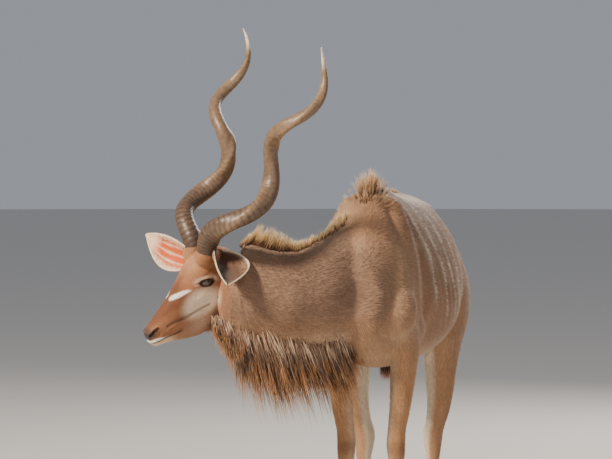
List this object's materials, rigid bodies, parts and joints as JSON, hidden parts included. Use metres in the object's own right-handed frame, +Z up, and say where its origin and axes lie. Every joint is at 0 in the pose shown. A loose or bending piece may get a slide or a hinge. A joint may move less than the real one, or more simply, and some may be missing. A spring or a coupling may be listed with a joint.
{
  "type": "greater kudu",
  "caption": "Life-size standing antelope bull in one still pose: spiral horns, cupped ears, maned and fringed neck turned to its right, deep body, slender legs and a brush-tipped tail.",
  "frame": {"origin": "centre of the bounding box's base, on the floor under the soles", "axes": "+Z up, the body faces -Y, the animal's own left side is +X; the head is turned to its right, towards -X"},
  "size_m": [1.105, 1.7002, 2.0438],
  "materials": {
    "coat": "short fawn-grey fur with thin pale stripes",
    "horn": "dark grey-brown horn, wrinkled at the base, ivory at the tip",
    "hoof": "dull near-black hoof",
    "eye": "wet near-black eye"
  },
  "bodies": {
    "root": {"torso": "coat", "neck": "coat", "head": "coat", "tail": "coat", "foreleg_left": "coat", "foreleg_right": "coat", "hindleg_left": "coat", "hindleg_right": "coat", "ear_left": "coat", "ear_right": "coat", "forehoof_left": "hoof", "forehoof_right": "hoof", "hindhoof_left": "hoof", "hindhoof_right": "hoof", "horn_left": "horn", "horn_right": "horn", "eye_left": "eye", "eye_right": "eye"}
  },
  "joints": []
}
